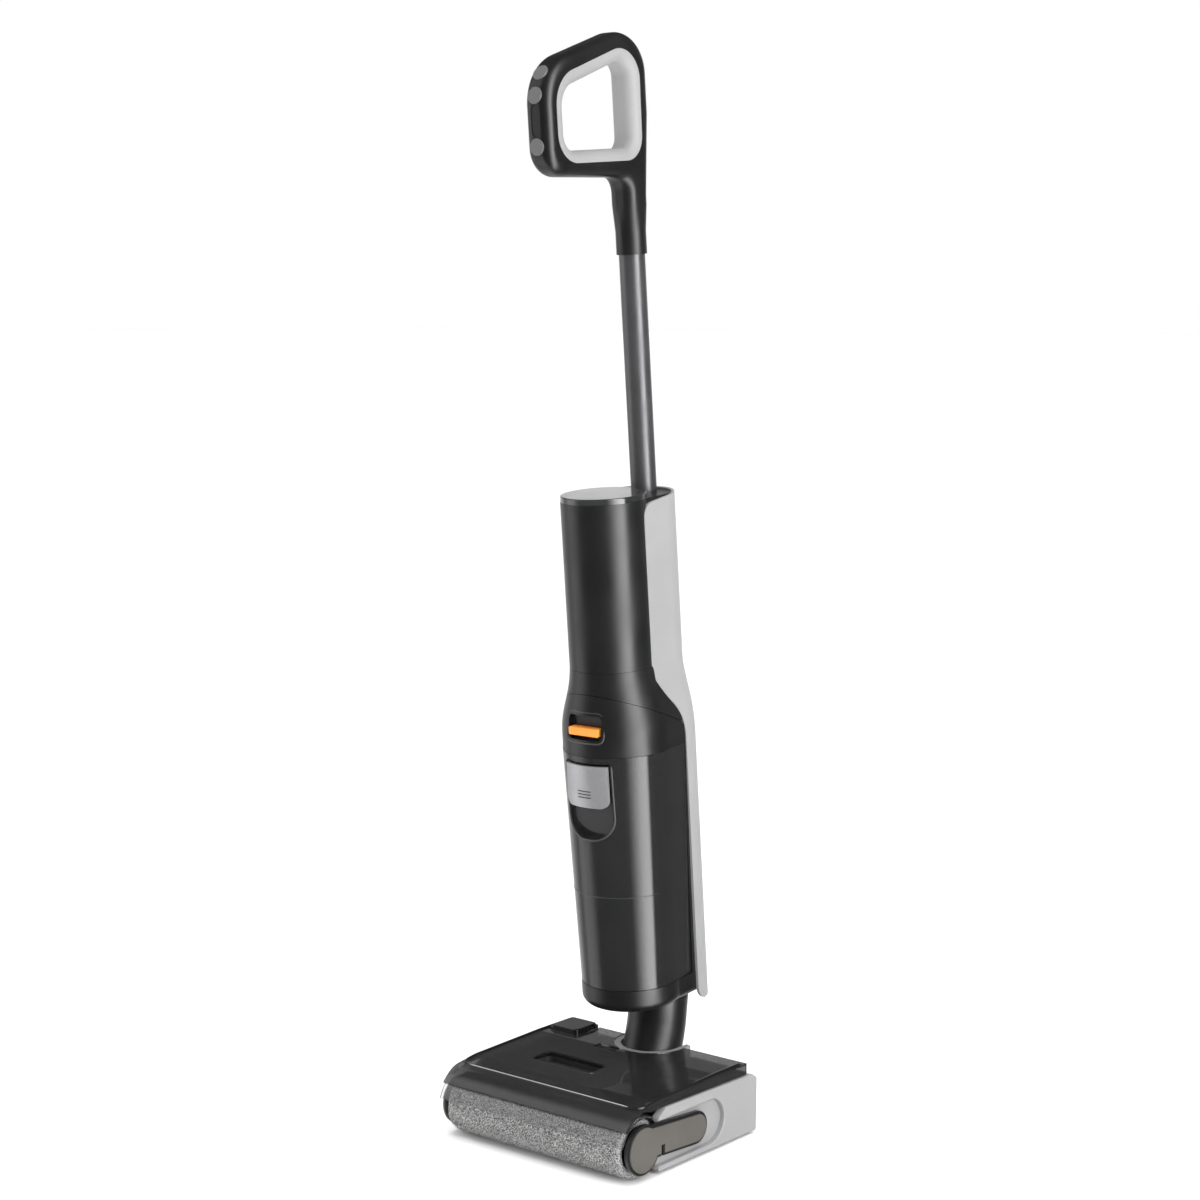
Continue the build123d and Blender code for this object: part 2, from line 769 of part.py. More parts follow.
# ---------------------------------------------------------------- upper body: housings
SHOULDER = (
    (TANK_TOP, TANK_R_TOP, 0.0),
    (322.0, 57.4, 0.0),
    (342.0, 54.0, -1.1),
    (358.0, 48.9, -2.4),
    (374.0, 44.9, -3.6),
    (SEAM_S, CYLINDER_R, CYLINDER_B),
)


def shoulder_rings():
    """Cross-sections of the outer form between the tank and the upper cylinder."""
    rings = []
    for height, radius, centre in SHOULDER:
        with BuildSketch(level(height)) as ring:
            round_front(radius, TANK_BACK, centre)
        rings.append(ring.sketch.face())
    return rings


def below_slant(gap):
    """Side outline of everything in front of the spine and under the slanted seam."""
    with BuildSketch(SIDE) as outline:
        with BuildLine():
            Polyline(
                (-80, 290),
                (-80, SLANT_FRONT - gap),
                (TANK_BACK + 0.2 - gap, SLANT_FRONT - SLANT_FALL * (TANK_BACK + 80) - gap),
                (TANK_BACK + 0.2 - gap, 290),
                close=True,
            )
        make_face()
    return outline.sketch


PANEL_ROOM = panel_solid(0.4)

with BuildPart() as spine:
    for height, half in ((56.2, SPINE_HALF - 3), (TANK_TOP, SPINE_HALF)):
        with BuildSketch(level(height)):
            with Locations((0, (TANK_BACK + 0.4 + SPINE_BACK) / 2)):
                Rectangle(2 * half, SPINE_BACK - TANK_BACK - 0.4)
    loft()
    with BuildSketch(level(TANK_TOP)):
        with Locations((0, (TANK_BACK + 0.4 + SPINE_BACK) / 2)):
            Rectangle(2 * SPINE_HALF, SPINE_BACK - TANK_BACK - 0.4)
    extrude(amount=19.3)
    add(PANEL_ROOM, mode=Mode.SUBTRACT)
keep(spine, "spine_housing")

with BuildPart() as motor_housing:
    loft(sections=shoulder_rings())
    for height, half in ((321.5, 49.6), (338, 47.4), (354, 44.0), (372, 39.9), (SEAM_S, 38.4)):
        with BuildSketch(level(height)):
            back_box(half, 0, 75.2, 28)
    loft()
    extrude(below_slant(0), amount=80, both=True, mode=Mode.SUBTRACT)
    with BuildSketch(level(366)):
        with Locations((0, CYLINDER_B)):
            Circle(33)
    extrude(amount=40, mode=Mode.SUBTRACT)
    with BuildSketch(level(336)):
        with Locations((0, 56)):
            Rectangle(44, 28)
    extrude(amount=60, mode=Mode.SUBTRACT)
    add(PANEL_ROOM, mode=Mode.SUBTRACT)
keep(motor_housing, "motor_housing")

with BuildPart() as pump:
    with BuildSketch(level(336.2)):
        with Locations((0, 56)):
            Rectangle(34, 22)
    extrude(amount=30)
    with BuildSketch(level(366)):
        with Locations((-8, 56), (8, 56)):
            Circle(3)
    extrude(amount=14)
keep(pump, "water_pump")

with BuildPart() as upper_shell:
    with BuildSketch(level(SEAM_S + 0.3)):
        with Locations((0, CYLINDER_B)):
            Circle(CYLINDER_R)
        back_box(38.4, -4, 75.2, 28)
    extrude(amount=SHELL_TOP - SEAM_S - 0.3)
    with BuildSketch(level(SEAM_S)):
        with Locations((0, CYLINDER_B)):
            Circle(36)
    extrude(amount=SHELL_TOP - 5 - SEAM_S, mode=Mode.SUBTRACT)
    with BuildSketch(level(474)):
        with Locations((0, POLE_B)):
            Circle(POLE_R + 0.02)
    extrude(amount=120, mode=Mode.SUBTRACT)
    add(PANEL_ROOM, mode=Mode.SUBTRACT)
keep(upper_shell, "upper_shell")

with BuildPart() as display:
    with BuildSketch(level(SHELL_TOP + 0.1)):
        with Locations((0, CYLINDER_B)):
            Circle(CYLINDER_R - 0.2)
    extrude(amount=6)
    fillet(display.faces().sort_by(Axis.Z)[-1].edges(), 1.2)
keep(display, "display_disc")

with BuildPart() as battery:
    with BuildSketch(level(458)):
        with Locations((0, CYLINDER_B)):
            Circle(34.5)
    extrude(amount=78)
keep(battery, "battery_pack")

with BuildPart() as board:
    with BuildSketch(level(542)):
        with Locations((0, CYLINDER_B)):
            Circle(34)
    extrude(amount=1.6)
    with BuildSketch(level(543.6)):
        with Locations((-14, -10), (10, 4), (16, -18)):
            Rectangle(9, 7)
    extrude(amount=2.4)
keep(board, "main_board")

with BuildPart() as suction_motor:
    with BuildSketch(level(391)):
        with Locations((0, CYLINDER_B)):
            Circle(34)
            Circle(31, mode=Mode.SUBTRACT)
    extrude(amount=20)
    with BuildSketch(level(411)):
        with Locations((0, CYLINDER_B)):
            Circle(34)
            Circle(3.06, mode=Mode.SUBTRACT)
    extrude(amount=42)
keep(suction_motor, "suction_motor")

with BuildPart() as impeller:
    with BuildSketch(level(394)):
        with Locations((0, CYLINDER_B)):
            Circle(29)
    extrude(amount=2)
    with BuildSketch(level(396)):
        with Locations((0, CYLINDER_B)):
            Circle(6)
            with PolarLocations(16.5, 9):
                Rectangle(23, 1.6)
    extrude(amount=9)
    with BuildSketch(level(405)):
        with Locations((0, CYLINDER_B)):
            Circle(3)
    extrude(amount=40)
keep(impeller, "suction_impeller")

# ---------------------------------------------------------------- upper body: filter drawer
with BuildPart() as filter_housing:
    loft(sections=shoulder_rings())
    extrude(below_slant(0.4), amount=80, both=True, mode=Mode.INTERSECT)
    with BuildSketch(level(280)):
        Rectangle(200, 200)
    extrude(amount=TANK_TOP + 0.4 - 280, mode=Mode.SUBTRACT)
    with BuildSketch(level(306)):
        round_front(44, 26)
    extrude(amount=18, mode=Mode.SUBTRACT)
    with BuildSketch(front_plane(-70)):
        with Locations((0, 331.7)):
            RectangleRounded(42, 24.5, 5)
    extrude(amount=-23.5, mode=Mode.SUBTRACT)
keep(filter_housing, "filter_housing")

with BuildPart() as filter_element:
    with BuildSketch(level(306.2)):
        round_front(43.6, 25.6)
    extrude(amount=17.6)
keep(filter_element, "filter_element")

with BuildPart() as filter_latch:
    with BuildSketch(front_plane(-46.9)):
        with Locations((0, 327.6)):
            RectangleRounded(37, 8, 1.5)
    extrude(amount=9.6)
    fillet(filter_latch.faces().sort_by(Axis.Y)[0].edges(), 0.8)
keep(filter_latch, "filter_latch")

# ---------------------------------------------------------------- upper body: dirty water tank
with BuildPart() as tank_form:
    with BuildSketch(level(TANK_BOTTOM)):
        round_front(TANK_R_LOW, TANK_BACK)
    with BuildSketch(level(TANK_TOP)):
        round_front(TANK_R_TOP, TANK_BACK)
    loft(ruled=True)

with BuildPart() as recess_wall:
    with BuildSketch(front_plane(-43)):
        with Locations((0, 262)):
            Rectangle(60, 72)
        with Locations((0, 241)):
            RectangleRounded(60, 54, 24)
    extrude(amount=30)
    add(tank_form.part, mode=Mode.INTERSECT)

with BuildPart() as tank:
    add(tank_form.part)
    with BuildSketch(level(TANK_BOTTOM + 3)):
        round_front(tank_radius(TANK_BOTTOM + 3) - 2.4, TANK_BACK - 2.4)
    with BuildSketch(level(TANK_TOP)):
        round_front(TANK_R_TOP - 2.4, TANK_BACK - 2.4)
    loft(ruled=True, mode=Mode.SUBTRACT)
    # Finger recess behind and below the latch, with its own back wall
    add(recess_wall.part)
    with BuildSketch(front_plane(-45.4)):
        with Locations((0, 266)):
            Rectangle(55, 60)
        with Locations((0, 241)):
            RectangleRounded(55, 50, 22)
    extrude(amount=40, mode=Mode.SUBTRACT)
    # Moulding seam round the lower third
    with BuildSketch(level(155.6)):
        Circle(TANK_R_TOP + 2)
        Circle(tank_radius(156) - 0.4, mode=Mode.SUBTRACT)
        with Locations((0, 54)):
            Rectangle(200, 100, mode=Mode.SUBTRACT)
    extrude(amount=0.8, mode=Mode.SUBTRACT)
keep(tank, "dirty_tank")

with BuildPart() as tank_lid:
    with BuildSketch(level(TANK_TOP - 7)):
        round_front(TANK_R_TOP - 2.7, TANK_BACK - 2.6)
    extrude(amount=7)
    with BuildSketch(front_plane(-43)):
        with Locations((0, 262)):
            Rectangle(61, 74)
    extrude(amount=30, mode=Mode.SUBTRACT)
keep(tank_lid, "tank_lid")

with BuildPart() as tank_latch:
    with BuildSketch(front_plane(-50)):
        with Locations((0, 277)):
            Rectangle(51.6, 33)
        with Locations((0, 267)):
            RectangleRounded(51.6, 33, 8)
    extrude(amount=14)
    with BuildSketch(level(240)):
        Circle(60)
        Circle(56.6, mode=Mode.SUBTRACT)
    extrude(amount=60, mode=Mode.INTERSECT)
keep(tank_latch, "tank_latch")

with BuildPart() as inlet_duct:
    with BuildSketch(level(TANK_BOTTOM + 3.1)):
        with Locations((20, 8)):
            Circle(12)
            Circle(10, mode=Mode.SUBTRACT)
    extrude(amount=200)
    with BuildSketch(level(259.7)):
        with Locations((20, 8)):
            Rectangle(34, 28)
            Circle(10, mode=Mode.SUBTRACT)
    extrude(amount=14)
keep(inlet_duct, "inlet_duct")

with BuildPart() as tank_float:
    with BuildSketch(level(110)):
        with Locations((-18, 6)):
            RectangleRounded(26, 26, 6)
    extrude(amount=26)
keep(tank_float, "tank_float")

# ---------------------------------------------------------------- pole and ring handle
with BuildPart() as pole:
    with BuildSketch(level(474.2)):
        with Locations((0, POLE_B)):
            Circle(POLE_R)
            Circle(POLE_R - 1.4, mode=Mode.SUBTRACT)
    extrude(amount=378)
keep(pole, "pole")


def ring_middle(grow):
    """Loop between the handle's black outside and its grey liner."""
    with BuildSketch(SIDE) as loop:
        with BuildLine():
            FilletPolyline(
                (67 + grow, 885 - grow),
                (-60 - grow, 886 - grow),
                (-60 - grow, 966 + grow),
                (69 + grow, 1003 + grow),
                radius=(24, 28, 36, 30),
                close=True,
            )
        make_face()
    return loop.sketch


def on_ring(back, up, angle):
    """Plane on the ring's outer face, looking outward at `angle` in the side view."""
    centre = BODY.origin + BODY.y_dir * back + BODY.z_dir * up
    outward = BODY.y_dir * cos(radians(angle)) + BODY.z_dir * sin(radians(angle))
    return Plane(origin=centre, x_dir=(1, 0, 0), z_dir=outward)


BUTTONS = {
    "power_button": on_ring(-62.9, 972, 141),
    "mode_button": on_ring(-72.7, 951, 168),
    "clean_button": on_ring(-74, 903, 180),
}

with BuildPart() as handle:
    with BuildSketch(SIDE):
        with BuildLine():
            FilletPolyline(
                (POLE_B - SLEEVE_R, SLEEVE_TOP),
                (POLE_B - SLEEVE_R, 869),
                (-74, 875),
                (-74, 979),
                (84, 1021),
                (84, 930),
                (POLE_B + SLEEVE_R, 850),
                (POLE_B + SLEEVE_R, SLEEVE_TOP),
                radius=(0, 16, 28, 50, 40, 60, 60, 0),
                close=True,
            )
        make_face()
    extrude(amount=RING_HALF, both=True)
    rims = handle.edges().group_by(Axis.X)
    fillet(rims[0].sort_by(Axis.Z)[1:] + rims[-1].sort_by(Axis.Z)[1:], RING_ROUND)
    # The section runs out into a round sleeve over the pole
    with BuildSketch(level(SLEEVE_TOP)):
        with Locations((0, POLE_B)):
            RectangleRounded(2 * RING_HALF, 2 * SLEEVE_R, RING_ROUND)
    with BuildSketch(level(SLEEVE_TOP - 26)):
        with Locations((0, POLE_B)):
            Circle(SLEEVE_R)
    loft()
    with BuildSketch(level(793)):
        with Locations((0, POLE_B)):
            Circle(SLEEVE_R)
    extrude(amount=SLEEVE_TOP - 26 - 793)
    with BuildSketch(level(792)):
        with Locations((0, POLE_B)):
            Circle(POLE_R + 0.02)
    extrude(amount=60.6, mode=Mode.SUBTRACT)
    extrude(ring_middle(0.1), amount=40, both=True, mode=Mode.SUBTRACT)
    # Button sockets and the shallow strip between the lower two
    for spot in BUTTONS.values():
        with BuildSketch(spot.offset(-6)):
            Circle(BUTTON_R + 0.3)
        extrude(amount=12, mode=Mode.SUBTRACT)
    with BuildSketch(on_ring(-74, 927, 180).offset(-0.7)):
        SlotOverall(30, 11, rotation=90)
    extrude(amount=3, mode=Mode.SUBTRACT)
keep(handle, "handle_shell")

for label, spot in BUTTONS.items():
    with BuildPart() as button:
        with BuildSketch(spot.offset(-4)):
            Circle(BUTTON_R)
        extrude(amount=5)
        fillet(button.edges().filter_by(GeomType.CIRCLE), 0.7)
    keep(button, label)

with BuildPart() as liner:
    extrude(ring_middle(0), amount=RING_HALF, both=True)
    with BuildSketch(SIDE):
        with BuildLine():
            FilletPolyline(
                (55, 897.5),
                (-46, 898),
                (-46, 955),
                (55, 984.5),
                radius=(12, 16, 24, 14),
                close=True,
            )
        make_face()
    extrude(amount=40, both=True, mode=Mode.SUBTRACT)
    for rim in (liner.faces().sort_by(Axis.X)[0], liner.faces().sort_by(Axis.X)[-1]):
        fillet(rim.inner_wires()[0].edges(), RING_ROUND)
keep(liner, "handle_liner")
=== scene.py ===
import bpy
import json
import math
import random
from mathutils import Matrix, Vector


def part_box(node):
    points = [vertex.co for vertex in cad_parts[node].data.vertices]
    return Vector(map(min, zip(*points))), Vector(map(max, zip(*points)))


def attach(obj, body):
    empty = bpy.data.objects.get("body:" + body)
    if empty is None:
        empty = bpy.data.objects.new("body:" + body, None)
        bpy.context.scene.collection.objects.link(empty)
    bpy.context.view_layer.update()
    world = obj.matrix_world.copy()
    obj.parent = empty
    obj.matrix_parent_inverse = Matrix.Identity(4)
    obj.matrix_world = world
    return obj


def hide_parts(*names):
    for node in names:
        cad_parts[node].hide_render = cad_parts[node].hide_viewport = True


# Looks of the upright cordless floor washer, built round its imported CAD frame. The floor head stands
# square to that frame. The upper body leans, so its details are placed with body_point(x, back, up),
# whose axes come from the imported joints.

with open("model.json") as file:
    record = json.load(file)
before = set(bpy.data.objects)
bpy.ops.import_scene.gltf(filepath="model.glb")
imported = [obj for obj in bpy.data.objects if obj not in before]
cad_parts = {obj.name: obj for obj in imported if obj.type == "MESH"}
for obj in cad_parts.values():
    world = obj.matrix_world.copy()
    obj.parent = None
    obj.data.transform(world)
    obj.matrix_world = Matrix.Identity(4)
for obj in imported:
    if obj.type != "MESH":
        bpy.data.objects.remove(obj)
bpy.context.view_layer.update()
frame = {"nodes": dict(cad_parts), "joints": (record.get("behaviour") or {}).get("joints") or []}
random.seed(7)

MM = 0.001
JOINTS = {joint["name"]: joint for joint in frame["joints"]}
UP = Vector(JOINTS["impeller_spin"]["axis"])
BACK = Vector((0, UP.z, -UP.y))
FAN = Vector(JOINTS["impeller_spin"]["pos_m"])
FAN_UP, FAN_FRONT = 0.4, 0.004
BODY_ORIGIN = FAN - UP * FAN_UP + BACK * FAN_FRONT


def body_point(x, back, up):
    """A point of the leaning upper body, in metres: across, towards the back and up along it."""
    return BODY_ORIGIN + Vector((x, 0, 0)) + BACK * back + UP * up


# ---------------------------------------------------------------- shader helpers
class Shader:
    """A principled material under construction."""

    def __init__(self, name, **sockets):
        self.material = bpy.data.materials.new(name)
        self.material.use_nodes = True
        self.tree = self.material.node_tree
        self.surface = self.tree.nodes["Principled BSDF"]
        self.place = self.node("ShaderNodeTexCoord").outputs["Object"]
        for socket, value in sockets.items():
            self.surface.inputs[socket.replace("_", " ")].default_value = value

    def node(self, kind, **inputs):
        made = self.tree.nodes.new(kind)
        for socket, value in inputs.items():
            made.inputs[socket.replace("_", " ")].default_value = value
        return made

    def link(self, source, target):
        self.tree.links.new(source, target)

    def noise(self, scale, detail=3.0, stretch=None):
        """Noise over the surface; stretch scales the three axes to draw it out into streaks."""
        made = self.node("ShaderNodeTexNoise", Scale=scale, Detail=detail)
        if stretch:
            mapping = self.node("ShaderNodeMapping")
            mapping.inputs["Scale"].default_value = stretch
            self.link(self.place, mapping.inputs["Vector"])
            self.link(mapping.outputs["Vector"], made.inputs["Vector"])
        else:
            self.link(self.place, made.inputs["Vector"])
        return made.outputs["Fac"]

    def ramp(self, value, low, high, from_low=0.35, from_high=0.65):
        made = self.node("ShaderNodeMapRange")
        made.inputs["From Min"].default_value = from_low
        made.inputs["From Max"].default_value = from_high
        made.inputs["To Min"].default_value = low
        made.inputs["To Max"].default_value = high
        self.link(value, made.inputs["Value"])
        return made.outputs["Result"]

    def colours(self, value, first, second, from_low=0.35, from_high=0.65):
        made = self.node("ShaderNodeValToRGB")
        made.color_ramp.elements[0].position = from_low
        made.color_ramp.elements[1].position = from_high
        made.color_ramp.elements[0].color = (*first, 1)
        made.color_ramp.elements[1].color = (*second, 1)
        self.link(value, made.inputs["Fac"])
        return made.outputs["Color"]

    def base(self, colour):
        self.link(colour, self.surface.inputs["Base Color"])

    def rough(self, value):
        self.link(value, self.surface.inputs["Roughness"])

    def bump(self, *layers):
        """Stack bumps; each layer is (height, strength, distance in metres)."""
        normal = None
        for height, strength, distance in layers:
            made = self.node("ShaderNodeBump", Strength=strength, Distance=distance)
            self.link(height, made.inputs["Height"])
            if normal:
                self.link(normal, made.inputs["Normal"])
            normal = made.outputs["Normal"]
        self.link(normal, self.surface.inputs["Normal"])


def plastic(name, dark, light, rough, grain=1400.0, depth=0.00006, strength=0.35, **sockets):
    """Moulded plastic: spark-eroded grain, faint colour drift and handling smudges in its gloss."""
    made = Shader(name, **sockets)
    made.base(made.colours(made.noise(9.0, 4), dark, light))
    smudge = made.noise(23.0, 5)
    made.rough(made.ramp(smudge, rough - 0.05, rough + 0.06))
    made.bump((made.noise(grain, 2), strength, depth), (made.noise(60.0, 2), 0.05, 0.0002))
    return made.material


def brushed(name, dark, light, rough, stretch, metallic=1.0, **sockets):
    """Metal drawn out along one axis."""
    made = Shader(name, Metallic=metallic, **sockets)
    streaks = made.noise(900.0, 4, stretch)
    made.base(made.colours(streaks, dark, light))
    made.rough(made.ramp(made.noise(30.0, 4), rough - 0.05, rough + 0.07))
    made.bump((streaks, 0.12, 0.00002))
    return made.material


def smoked(name, tint, rough, transmission, ior=1.49):
    """Clear tinted plastic with fine moulding ripples and a few hairline scuffs."""
    made = Shader(name, IOR=ior)
    made.surface.inputs["Transmission Weight"].default_value = transmission
    made.base(made.colours(made.noise(6.0, 2), tint, tuple(1.12 * part for part in tint)))
    made.rough(made.ramp(made.noise(35.0, 5), rough, rough + 0.05, 0.4, 0.75))
    made.bump((made.noise(14.0, 1), 0.06, 0.0008))
    return made.material


# ---------------------------------------------------------------- materials
BLACK = plastic("shell_black", (0.007, 0.007, 0.0074), (0.010, 0.010, 0.0105), 0.33)
HANDLE = plastic("handle_black", (0.006, 0.006, 0.0064), (0.009, 0.009, 0.0095), 0.34, grain=1700.0)
INNER = plastic("inner_black", (0.012, 0.012, 0.012), (0.018, 0.018, 0.019), 0.55, grain=900.0)
GREY = plastic("light_grey", (0.27, 0.27, 0.273), (0.29, 0.29, 0.293), 0.50, grain=1500.0)
LINER = plastic("liner_grey", (0.27, 0.27, 0.273), (0.29, 0.29, 0.293), 0.58, grain=1900.0)
KEY = plastic("key_grey", (0.09, 0.09, 0.092), (0.12, 0.12, 0.123), 0.34, grain=1500.0)
PRESS = plastic(
    "press_black", (0.010, 0.010, 0.0105), (0.014, 0.014, 0.0145), 0.16, grain=900.0, strength=0.1
)
ORANGE = plastic("orange_tab", (0.78, 0.24, 0.03), (0.90, 0.31, 0.045), 0.35)
WARM = plastic("cap_warm_grey", (0.115, 0.107, 0.097), (0.15, 0.14, 0.127), 0.38, Metallic=0.35)
CORE = plastic("core_plastic", (0.2, 0.2, 0.2), (0.28, 0.28, 0.28), 0.45)
WHITE = plastic("float_white", (0.30, 0.30, 0.29), (0.36, 0.36, 0.35), 0.4)
RUBBER = plastic("rubber_black", (0.012, 0.012, 0.012), (0.02, 0.02, 0.02), 0.7, grain=700.0, depth=0.0001)
BATTERY = plastic("battery_wrap", (0.03, 0.1, 0.25), (0.05, 0.14, 0.3), 0.3)
BOARD = plastic("board_green", (0.01, 0.10, 0.04), (0.02, 0.14, 0.06), 0.4)
GLOSS = plastic(
    "display_gloss", (0.02, 0.021, 0.022), (0.03, 0.031, 0.032), 0.12, strength=0.03, Coat_Weight=0.6
)
GLOW = plastic("status_glow", (0.35, 0.38, 0.42), (0.42, 0.45, 0.5), 0.4)
POLE = brushed("pole_grey", (0.085, 0.085, 0.088), (0.10, 0.10, 0.104), 0.34, (1.0, 1.0, 0.03), metallic=0.6)
SILVER = brushed(
    "latch_silver", (0.36, 0.36, 0.37), (0.40, 0.40, 0.41), 0.34, (1.0, 1.0, 0.25), metallic=0.55
)
STEEL = brushed("steel", (0.42, 0.42, 0.43), (0.56, 0.56, 0.57), 0.3, (0.05, 1.0, 1.0))
BRASS = brushed("contact_brass", (0.62, 0.44, 0.16), (0.75, 0.56, 0.24), 0.3, (1.0, 0.05, 1.0))
TANK = smoked("smoked_tank", (0.06, 0.06, 0.062), 0.10, 0.75)
COVER = smoked("smoked_cover", (0.12, 0.12, 0.123), 0.03, 0.88)
SKIRT = smoked("smoked_skirt", (0.72, 0.72, 0.73), 0.05, 0.97)
CLEAN = smoked("clean_clear", (0.75, 0.77, 0.79), 0.10, 0.9)

GLOSS_BLACK = plastic(
    "gloss_black", (0.009, 0.009, 0.0095), (0.012, 0.012, 0.0125), 0.14, grain=900.0, strength=0.05
)
# Smoky grey well above the black shells: beads drawn in it show as painted highlight lines along ridges,
# rims and seams.
RIM_HIGHLIGHT = plastic("rim_painted_highlight", (0.035, 0.035, 0.036), (0.05, 0.05, 0.051), 0.22, grain=900.0, strength=0.05)
# Pale glossy grey for a thin bead on the cover's front lip: a painted highlight line.
LIP_HIGHLIGHT = plastic("lip_painted_highlight", (0.34, 0.34, 0.345), (0.42, 0.42, 0.425), 0.12, grain=900.0, strength=0.05)


def pleated_paper():
    """Filter paper with long fine folds."""
    made = Shader("filter_pleats")
    folds = made.noise(700.0, 3, (1.0, 0.05, 0.05))
    made.base(made.colours(folds, (0.5, 0.5, 0.48), (0.75, 0.75, 0.72)))
    made.rough(made.ramp(made.noise(80.0), 0.8, 0.95))
    return made.material


PAPER = pleated_paper()

BY_NODE = {
    "head_chassis": BLACK, "bottom_plate": INNER, "head_screws": STEEL, "charge_contacts": BRASS,
    "inner_deck": INNER, "suction_duct": INNER, "neck_ring": GREY, "side_panel_right": GREY,
    "side_panel_left": GREY, "floor_squeegee": RUBBER, "roller_scraper": INNER, "brush_motor": STEEL,
    "drive_cover": WARM, "drive_belt": RUBBER, "wheel_axles": STEEL, "top_cover": COVER,
    "roller_shroud": SKIRT, "status_light": GLOW, "cover_release_button": PRESS, "roller_cap": BLACK,
    "cap_face": WARM, "cap_shaft": STEEL, "roller_bearing": STEEL, "roller_core": CORE,
    "drive_pulley": CORE, "motor_shaft": STEEL, "wheel_hub_left": BLACK, "wheel_tyre_left": RUBBER,
    "wheel_hub_right": BLACK, "wheel_tyre_right": RUBBER, "neck_elbow": BLACK, "pivot_pins": STEEL,
    "base_cradle": BLACK, "spine_housing": BLACK, "motor_housing": BLACK, "upper_shell": BLACK,
    "display_disc": GLOSS, "battery_pack": BATTERY, "main_board": BOARD, "suction_motor": STEEL,
    "water_pump": INNER, "pole": POLE, "handle_shell": HANDLE, "handle_liner": LINER,
    "suction_impeller": CORE, "filter_housing": BLACK, "filter_element": PAPER, "filter_latch": ORANGE,
    "dirty_tank": TANK, "tank_lid": INNER, "inlet_duct": INNER, "tank_latch": SILVER,
    "tank_float": WHITE, "back_panel": GREY, "clean_tank": CLEAN, "filler_cap": RUBBER,
    "power_button": KEY, "mode_button": KEY, "clean_button": KEY, "roller_plush": RUBBER,
}
for node, material in BY_NODE.items():
    mesh = frame["nodes"][node].data
    if not mesh.materials:
        mesh.materials.append(material)
    for slot in range(len(mesh.materials)):
        mesh.materials[slot] = material


# ---------------------------------------------------------------- eased edges on the moulded parts
# widths in millimetres
EASED = {
    "handle_shell": 0.3, "handle_liner": 0.6, "back_panel": 0.7, "upper_shell": 0.4, "motor_housing": 0.35,
    "filter_housing": 0.35, "base_cradle": 0.5, "side_panel_right": 0.8, "side_panel_left": 0.8,
    "top_cover": 0.6, "cover_release_button": 0.4, "roller_cap": 0.7, "cap_face": 0.4, "neck_ring": 0.7,
    "dirty_tank": 0.35, "tank_latch": 0.6, "suction_duct": 0.4, "drive_cover": 0.6, "display_disc": 0.3,
}
FLAT_ANGLE, EDGE_ANGLE = 0.6, 38


def ease_edges(piece, width):
    """Round the sharp edges of a moulding, after its flat facets are merged."""
    flat = piece.modifiers.new("planes", "DECIMATE")
    flat.decimate_type = "DISSOLVE"
    flat.angle_limit = math.radians(FLAT_ANGLE)
    ease = piece.modifiers.new("ease", "BEVEL")
    ease.width = width
    ease.segments = 2
    ease.limit_method = "ANGLE"
    ease.angle_limit = math.radians(EDGE_ANGLE)
    ease.harden_normals = False


for node, width in EASED.items():
    ease_edges(frame["nodes"][node], width * MM)


# ---------------------------------------------------------------- roller pile
PILE_DEPTH = 0.0024
TUFTS = 52000
TUFT_LENGTH = (0.0022, 0.0031)
TUFT_HALF_WIDTH = (0.00022, 0.00042)


def plush_fibre():
    """Salt and pepper fibre: each tuft has its own tone, over patches of dark and light yarn."""
    fibre = Shader("plush_fibre", Roughness=0.85)
    fibre.surface.inputs["Sheen Weight"].default_value = 0.35
    reader = fibre.node("ShaderNodeAttribute")
    reader.attribute_name = "tone"
    patches = fibre.ramp(fibre.noise(820.0, 2), 0.0, 0.8, 0.42, 0.58)
    mixer = fibre.node("ShaderNodeMath")
    mixer.operation = "MULTIPLY_ADD"
    mixer.inputs[1].default_value = 0.35
    fibre.link(reader.outputs["Fac"], mixer.inputs[0])
    fibre.link(patches, mixer.inputs[2])
    fibre.base(fibre.colours(mixer.outputs[0], (0.012, 0.012, 0.013), (0.66, 0.655, 0.65), 0.2, 0.95))
    return fibre.material


def felt_sleeve(low, high, axis_y, axis_z, felt):
    """Points and faces of the slightly uneven sleeve that the tufts stand on."""
    rings, sides = 150, 120
    points, faces = [], []
    for ring in range(rings + 1):
        x = low.x + (high.x - low.x) * ring / rings
        for side in range(sides):
            turn = 2 * math.pi * side / sides
            radius = felt + 0.0004 * math.sin(11 * turn + 0.21 * ring) * math.sin(0.37 * ring + 3 * turn)
            points.append((x, axis_y + radius * math.cos(turn), axis_z + radius * math.sin(turn)))
    for ring in range(rings):
        for side in range(sides):
            a = ring * sides + side
            b = ring * sides + (side + 1) % sides
            faces.append((a, b, b + sides, a + sides))
    for end, flip in ((0, True), (rings, False)):
        loop = [end * sides + side for side in range(sides)]
        faces.append(tuple(reversed(loop)) if flip else tuple(loop))
    return points, faces


def tuft(x, axis, felt):
    """The three corners of one tuft that leans its own way."""
    turn = random.uniform(0, 2 * math.pi)
    out = Vector((0, math.cos(turn), math.sin(turn)))
    around = Vector((0, -out.z, out.y))
    lean = around * random.gauss(0.25, 0.3) + Vector((random.gauss(0, 0.3), 0, 0))
    foot = Vector((x, *axis)) + out * (felt - 0.0004)
    tip = foot + (out + lean).normalized() * random.uniform(*TUFT_LENGTH)
    spin = random.uniform(0, math.pi)
    wide = around * math.cos(spin) + Vector((1, 0, 0)) * math.sin(spin)
    wide = wide * random.uniform(*TUFT_HALF_WIDTH)
    return [foot - wide, foot + wide, tip]


